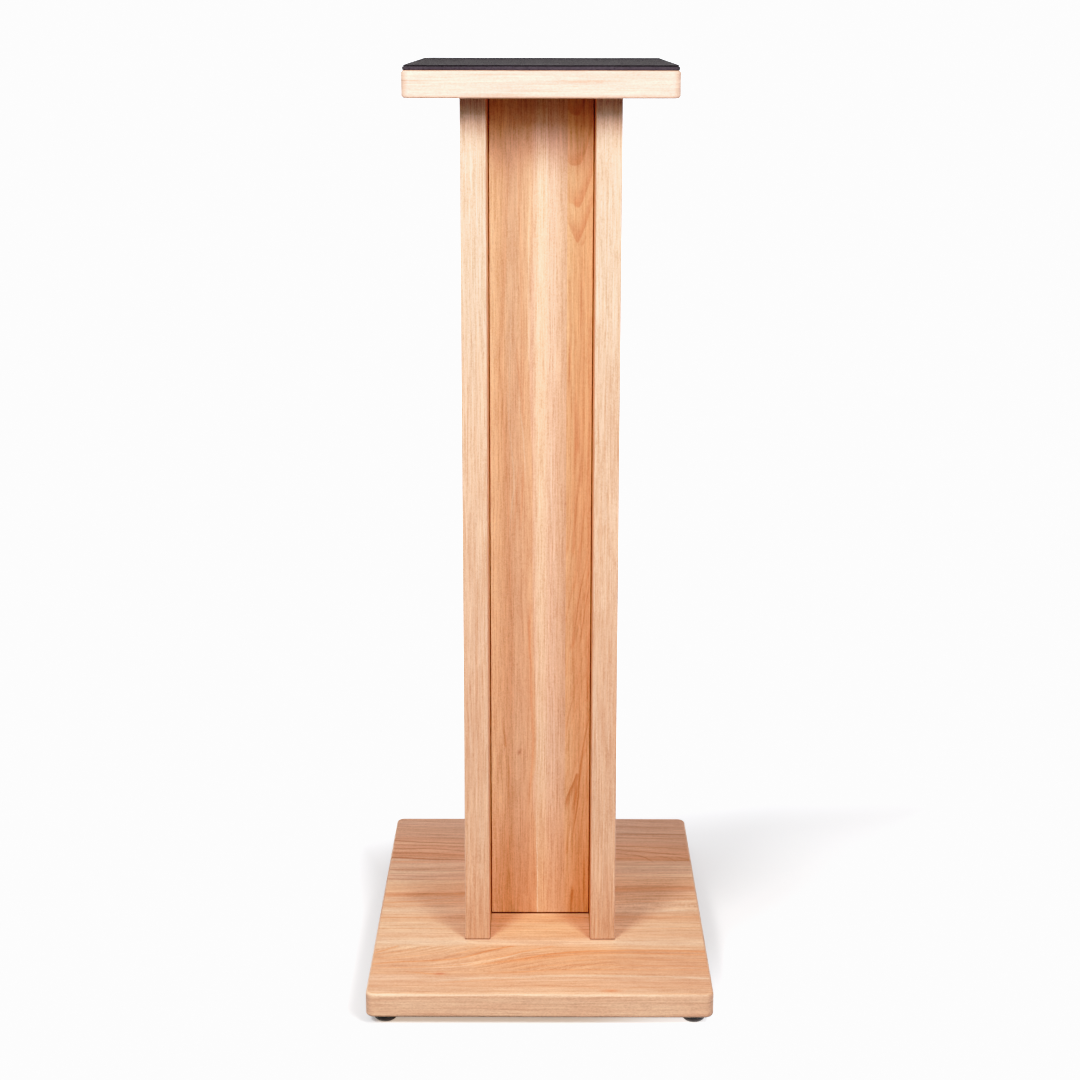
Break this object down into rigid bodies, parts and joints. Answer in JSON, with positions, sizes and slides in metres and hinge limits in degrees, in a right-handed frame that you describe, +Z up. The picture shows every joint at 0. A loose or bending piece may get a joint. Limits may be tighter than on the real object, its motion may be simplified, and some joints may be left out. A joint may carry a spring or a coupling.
{
  "type": "speaker stand",
  "caption": "Floor-standing wooden stand that carries one studio speaker at ear height on a foam pad, with an H-shaped board column on a wide base with rubber feet.",
  "frame": {"origin": "on the floor, under the centre of the base plate, which is also the centre of the whole object's outline", "axes": "+Z up, +X to the right of somebody facing the stand, the front towards -Y"},
  "size_m": [0.339, 0.474, 0.9145],
  "materials": {
    "base_wood": "satin wood laminate, grain left to right",
    "top_wood": "satin wood laminate, grain left to right",
    "upright_wood": "satin, fine straight upright grain",
    "panel_wood": "satin, redder staves with upright flame grain",
    "block_wood": "raw sawn softwood",
    "dowel_wood": "raw beech",
    "pad_foam": "matte closed-cell foam",
    "foot_rubber": "smooth glossy black rubber",
    "zinc_steel": "zinc plated",
    "zinc_casting": "dull die-cast zinc",
    "black_screw": "black phosphate"
  },
  "bodies": {
    "root": {"base_plate": "base_wood", "top_plate": "top_wood", "left_upright": "upright_wood", "right_upright": "upright_wood", "front_panel": "panel_wood", "rear_panel": "panel_wood", "lower_block": "block_wood", "middle_block": "block_wood", "upper_block": "block_wood", "foam_pad": "pad_foam", "front_left_foot": "foot_rubber", "front_right_foot": "foot_rubber", "rear_left_foot": "foot_rubber", "rear_right_foot": "foot_rubber", "base_bolts": "zinc_steel", "base_washers": "zinc_steel", "lower_inserts": "zinc_casting", "base_dowels": "dowel_wood", "top_bolts": "zinc_steel", "top_washers": "zinc_steel", "upper_inserts": "zinc_casting", "top_dowels": "dowel_wood", "block_dowels": "dowel_wood", "cam_bolts": "zinc_steel", "cam_locks": "zinc_casting", "front_panel_screws": "black_screw", "rear_panel_screws": "black_screw", "foot_washers": "zinc_steel", "foot_screws": "black_screw"}
  },
  "joints": []
}
